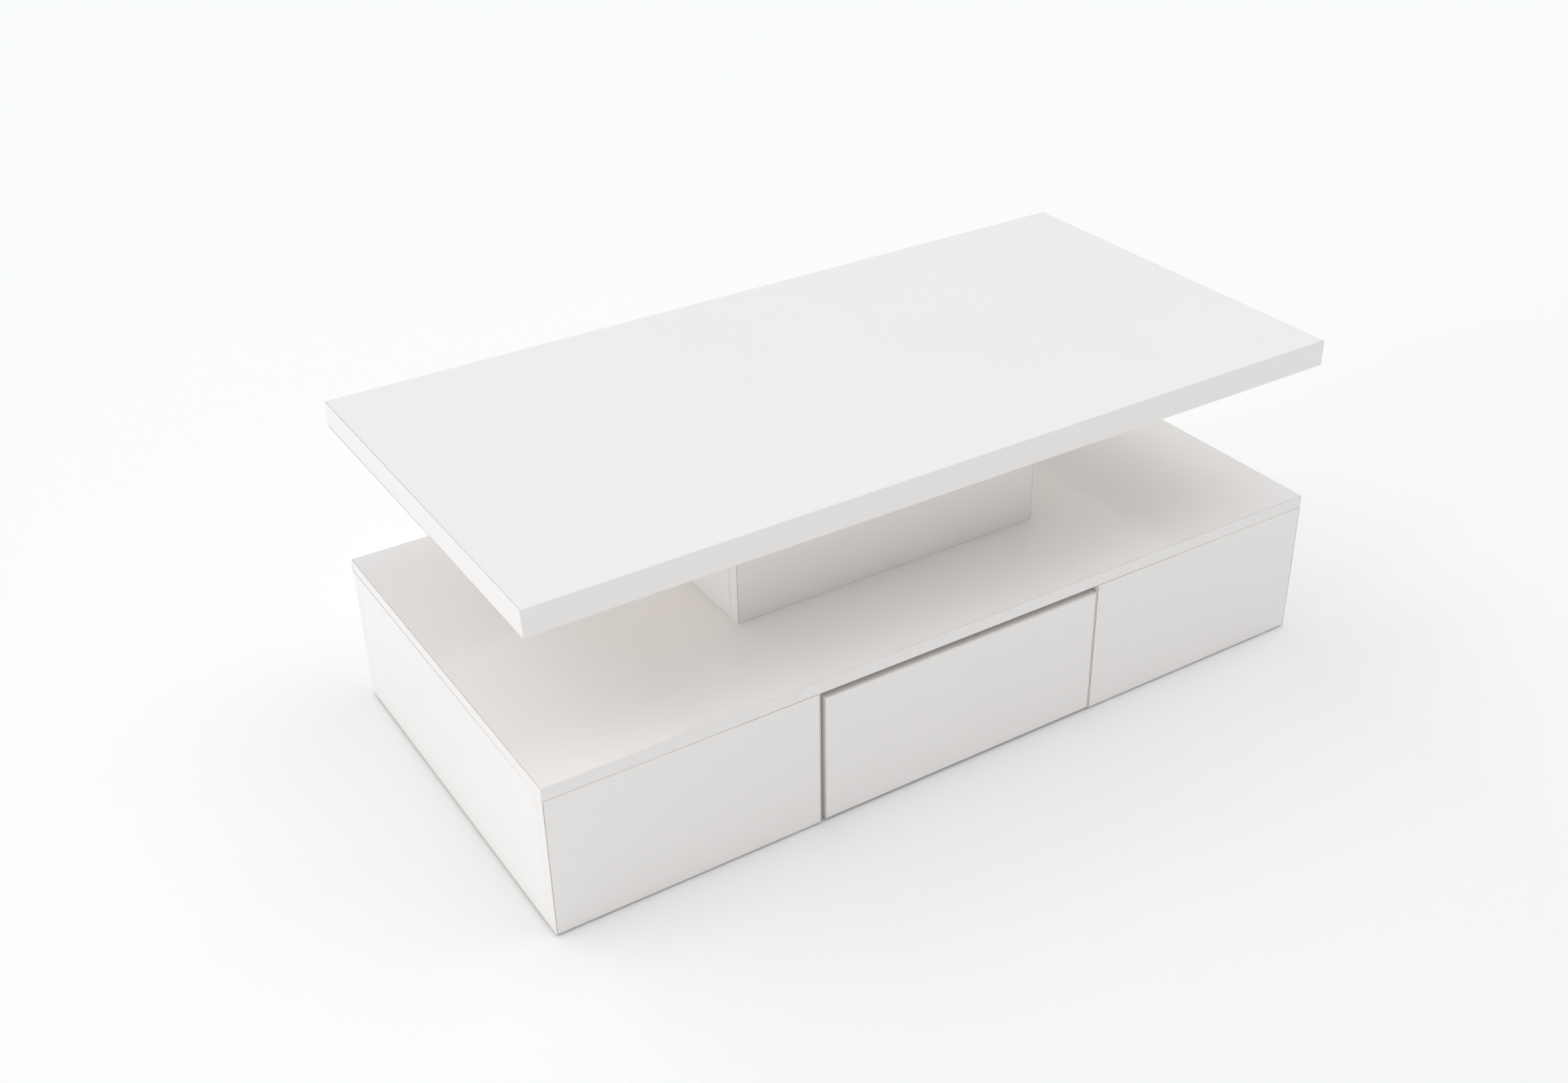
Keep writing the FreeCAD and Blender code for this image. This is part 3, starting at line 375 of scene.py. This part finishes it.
def make_materials():
    """Every finish by its slot name; faced boards have one for each direction that they lie in."""
    made = {
        "edge_band": edge_band("edge_band", shade(WARM_WHITE, 0.985)),
        # Arris browns: the trimmed core and glue, and painted shade of the seams between boards
        "arris": arris_core_and_seam_shade("arris_core_and_seam_shade", WARM_WHITE, 0.62, 0.62),
        "flat_arris": arris_core_and_seam_shade("flat_arris_core_and_seam_shade", WARM_WHITE, 0.12, 0.48),
        "side_arris": arris_core_and_seam_shade("side_arris_core_and_seam_shade", WARM_WHITE, 0.15, 0.15),
        # Front panels: extra painted shade of the gap under the shelf, darkest next to the drawer bay
        "front_arris": arris_core_and_seam_shade("front_arris_core_and_gap_shade", WARM_WHITE, 0.60, 0.60, 1.5),
        "raw_chipboard": raw_chipboard("raw_chipboard"),
        "beech": beech("beech"),
        "zinc_casting": metal("zinc_casting", (0.60, 0.60, 0.59), 0.42, 300.0),
        "zinc_plated_steel": metal("zinc_plated_steel", (0.72, 0.73, 0.74), 0.26, 500.0),
        "slide_steel": metal("slide_steel", (0.68, 0.69, 0.70), 0.28, 120.0, (1.0, 0.03, 1.0), 0.25),
        "bright_steel": metal("bright_steel", (0.70, 0.70, 0.70), 0.20, 700.0, (1.0, 0.2, 0.2)),
        "spring_steel": metal("spring_steel", (0.17, 0.17, 0.18), 0.34, 400.0),
        "black_steel": powder_coat("black_steel", (0.020, 0.020, 0.021)),
        "black_nylon": moulded("black_nylon", (0.025, 0.025, 0.026)),
        "white_nylon": moulded("white_nylon", (0.72, 0.72, 0.70)),
        "clear_rubber": soft_rubber("clear_rubber", (0.70, 0.70, 0.67)),
        "drawer_board": laminate("drawer_board", (0.84, 0.815, 0.79), 0.34),
        "white_hardboard": laminate("white_hardboard", (0.83, 0.80, 0.77), 0.38),
    }
    for axis in range(3):
        made["white_melamine", axis] = laminate("white_melamine_" + "xyz"[axis], WARM_WHITE, 0.07, axis)
    return made


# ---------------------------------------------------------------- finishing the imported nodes

# Width and segments of the rounding, by material slot
ROUNDED = {
    "edge_band": (BAND_ARRIS, 3),
    "white_nylon": (NYLON_ARRIS, 2),
    "clear_rubber": (RUBBER_ARRIS, 3),
    "black_steel": (METAL_ARRIS, 2),
}

# Finish of the arrises of the boards that show; the others have "arris"
ARRISES = {
    "top_upper_skin": "flat_arris",
    "top_lower_skin": "flat_arris",
    "shelf_panel": "flat_arris",
    "left_side_panel": "side_arris",
    "right_side_panel": "side_arris",
    "back_panel": "side_arris",
    "left_front_panel": "front_arris",
    "right_front_panel": "front_arris",
}


def thin_axis(name):
    """The axis along which a board is thinnest."""
    low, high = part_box(name)
    return min(range(3), key=lambda axis: (high - low)[axis])


def mark_outline(name):
    """Weights the edges along a board's outer box, so that its screw holes and grooves stay as cut."""
    mesh = NODES[name].data
    sides = [(axis, corner[axis]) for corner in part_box(name) for axis in range(3)]
    weights = mesh.attributes.new("bevel_weight_edge", "FLOAT", "EDGE")
    for edge in mesh.edges:
        ends = [mesh.vertices[vertex].co for vertex in edge.vertices]
        flush = [all(abs(end[axis] - side) < OUTLINE_REACH for end in ends) for axis, side in sides]
        weights.data[edge.index].value = 1.0 if sum(flush) >= 2 else 0.0


def round_edges(piece, width, segments, arris_slot=None, outline=False):
    """Welds the faceted mesh and rounds its sharp edges, or only the ones marked as its outline.

    arris_slot is the material slot of the new faces.
    """
    weld = piece.modifiers.new("weld", "WELD")
    weld.merge_threshold = WELD_REACH
    bevel = piece.modifiers.new("edges", "BEVEL")
    bevel.width = width
    bevel.segments = segments
    bevel.use_clamp_overlap = False
    if outline:
        bevel.limit_method = "WEIGHT"
        creases = piece.modifiers.new("creases", "EDGE_SPLIT")
        creases.split_angle = CREASE_ANGLE
    else:
        bevel.limit_method = "ANGLE"
        bevel.angle_limit = SHARP_ANGLE
    if arris_slot is not None:
        bevel.material = arris_slot
    normals = piece.modifiers.new("normals", "WEIGHTED_NORMAL")
    normals.keep_sharp = False
    normals.weight = NORMALS_WEIGHT


def finish_nodes(materials):
    """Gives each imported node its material, and finer edges where they show."""
    for row in frame["record"]["subparts"]:
        name, slot = row["node"], row["material_slot"]
        piece = NODES[name]
        if slot == "white_melamine":
            piece.data.materials[0] = materials[slot, thin_axis(name)]
            arris = ARRISES.get(name, "arris")
            piece.data.materials.append(materials[arris])
            mark_outline(name)
            width = SEAM_ARRIS if arris == "front_arris" else ARRIS
            round_edges(piece, width, 1, arris_slot=1, outline=True)
        else:
            piece.data.materials[0] = materials[slot]
            if slot == "drawer_board":
                mark_outline(name)
                round_edges(piece, DRAWER_ARRIS, 2, outline=True)
            elif slot in ROUNDED:
                round_edges(piece, *ROUNDED[slot])


# ---------------------------------------------------------------- torsion springs

SPRING_WIRE_RADIUS = 2.0 * MM
SPRING_TURNS = 13.25
SPRING_BASE_LEG = 42.0 * MM
SPRING_ARM_LEG = 26.0 * MM
WIRE_SIDES = 16
STEPS_PER_TURN = 40


def spring_line(outer, inner, pivot, radius):
    """Centre line of one spring: base leg, coils from outer to inner, and the leg that lifts the arm."""
    turned = 2 * math.pi * SPRING_TURNS
    points = [Vector((outer, pivot.y - radius, pivot.z - SPRING_BASE_LEG))]
    steps = round(SPRING_TURNS * STEPS_PER_TURN)
    for step in range(steps + 1):
        share = step / steps
        angle = turned * share
        x = outer + (inner - outer) * share
        points.append(Vector((x, pivot.y - radius * math.cos(angle), pivot.z + radius * math.sin(angle))))
    points.append(points[-1] + Vector((0, SPRING_ARM_LEG, 0)))
    return points


def wire(name, points, radius):
    """A round wire along points, with flat ends."""
    mesh = bmesh.new()
    rings = []
    side = Vector((1, 0, 0))
    for i, point in enumerate(points):
        before, after = points[max(i - 1, 0)], points[min(i + 1, len(points) - 1)]
        along = (after - before).normalized()
        side = (side - along * side.dot(along)).normalized()
        across = along.cross(side)
        ring = []
        for k in range(WIRE_SIDES):
            angle = 2 * math.pi * k / WIRE_SIDES
            ring.append(mesh.verts.new(point + (side * math.cos(angle) + across * math.sin(angle)) * radius))
        rings.append(ring)
    for first, second in zip(rings, rings[1:]):
        for k in range(WIRE_SIDES):
            n = (k + 1) % WIRE_SIDES
            mesh.faces.new((first[k], first[n], second[n], second[k]))
    mesh.faces.new(list(reversed(rings[0])))
    mesh.faces.new(rings[-1])
    bmesh.ops.recalc_face_normals(mesh, faces=mesh.faces)
    data = bpy.data.meshes.new(name)
    mesh.to_mesh(data)
    mesh.free()
    data.polygons.foreach_set("use_smooth", [len(p.vertices) == 4 for p in data.polygons])
    piece = bpy.data.objects.new(name, data)
    bpy.context.scene.collection.objects.link(piece)
    return piece


def make_springs(materials):
    """The two springs round the cross shaft, each twisting between the base plate and the arms."""
    hinge = next(j for j in frame["joints"] if j["name"] == "lift_hinge")
    pivot = Vector(hinge["pos_m"])
    reach, collar_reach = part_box("torsion_springs")[1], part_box("spring_collars")[1]
    radius = reach.z - pivot.z - SPRING_WIRE_RADIUS
    outer = reach.x - SPRING_WIRE_RADIUS
    inner = collar_reach.x - SPRING_WIRE_RADIUS
    for side, sign in (("left", -1), ("right", 1)):
        points = [Vector((sign * p.x, p.y, p.z)) for p in spring_line(outer, inner, pivot, radius)]
        spring = wire(side + "_torsion_spring", points, SPRING_WIRE_RADIUS)
        spring.data.materials.append(materials["spring_steel"])
        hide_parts("torsion_springs")
        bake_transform(spring)


# ---------------------------------------------------------------- floor, light and camera

FLOOR_HALF = 60.0
FLOOR_COLOUR = (0.985, 0.965, 0.945)

# The studio's surround: sine of the elevation, brightness
SURROUND = ((0.0, 0.90), (0.13, 0.50), (0.40, 0.50), (0.58, 0.32), (0.75, 0.13))

# Soft studio lamps: name, azimuth, elevation and width, irradiance, and whether glossy surfaces show it
LAMPS = (
    ("overhead", 0, 90, 100, 1.42, True),
    ("right high", 285, 64, 40, 0.50, True),
    ("left wall", 90, 12, 26, 0.43, True),
    ("left rear", 135, 40, 45, 0.46, True),
    ("rear wall", 175, 14, 30, 0.58, False),
)
LAMP_COLOUR = (0.955, 0.990, 1.020)


def make_floor():
    """A pale floor that reaches past every view's horizon."""
    mesh = bmesh.new()
    bmesh.ops.create_grid(mesh, x_segments=8, y_segments=8, size=FLOOR_HALF)
    data = bpy.data.meshes.new("floor")
    mesh.to_mesh(data)
    mesh.free()
    floor = bpy.data.objects.new("floor", data)
    data.materials.append(floor_paint("floor_paint", FLOOR_COLOUR))
    bpy.context.scene.collection.objects.link(floor)


def facing_turn(azimuth, elevation):
    """The turn of a lamp or camera that stands at these angles and looks back along them."""
    azimuth, elevation = math.radians(azimuth), math.radians(elevation)
    level = math.cos(elevation)
    outwards = Vector((-math.sin(azimuth) * level, -math.cos(azimuth) * level, math.sin(elevation)))
    return (-outwards).to_track_quat("-Z", "Y")


def soft_lamp(name, azimuth, elevation, width, strength, mirrored):
    """A distant round softbox."""
    lamp = bpy.data.lights.new(name, "SUN")
    lamp.angle = math.radians(width)
    lamp.energy = strength
    lamp.color = LAMP_COLOUR
    piece = bpy.data.objects.new(name, lamp)
    piece.rotation_mode = "QUATERNION"
    piece.rotation_quaternion = facing_turn(azimuth, elevation)
    piece.visible_glossy = mirrored
    bpy.context.scene.collection.objects.link(piece)


def make_light():
    """Even studio light: a pale horizon, walls, a dimmer ceiling, and soft lamps."""
    world = bpy.data.worlds.new("studio")
    world.use_nodes = True
    tree = world.node_tree
    background = tree.nodes["Background"]
    background.inputs["Color"].default_value = (*LAMP_COLOUR, 1.0)
    direction = tree.nodes.new("ShaderNodeTexCoord")
    parts = tree.nodes.new("ShaderNodeSeparateXYZ")
    tree.links.new(direction.outputs["Generated"], parts.inputs[0])
    ramp = tree.nodes.new("ShaderNodeValToRGB")
    set_stops(ramp, [(height, (light, light, light)) for height, light in SURROUND])
    tree.links.new(parts.outputs[2], ramp.inputs[0])
    tree.links.new(ramp.outputs[0], background.inputs["Strength"])
    bpy.context.scene.world = world
    for lamp in LAMPS:
        soft_lamp(*lamp)


def make_camera():
    """The photograph's view."""
    lens = bpy.data.cameras.new("camera")
    lens.sensor_width = SENSOR_WIDTH
    lens.lens = CAMERA_LENS
    camera = bpy.data.objects.new("camera", lens)
    turn = facing_turn(CAMERA_AZIMUTH, CAMERA_ELEVATION).to_matrix().to_4x4()
    roll = Matrix.Rotation(math.radians(CAMERA_ROLL), 4, "Z")
    camera.matrix_world = Matrix.Translation(CAMERA_PLACE) @ turn @ roll
    bpy.context.scene.collection.objects.link(camera)
    bpy.context.scene.camera = camera
    bpy.context.scene.view_settings.view_transform = "Standard"


materials = make_materials()
finish_nodes(materials)
make_springs(materials)
make_floor()
make_light()
make_camera()
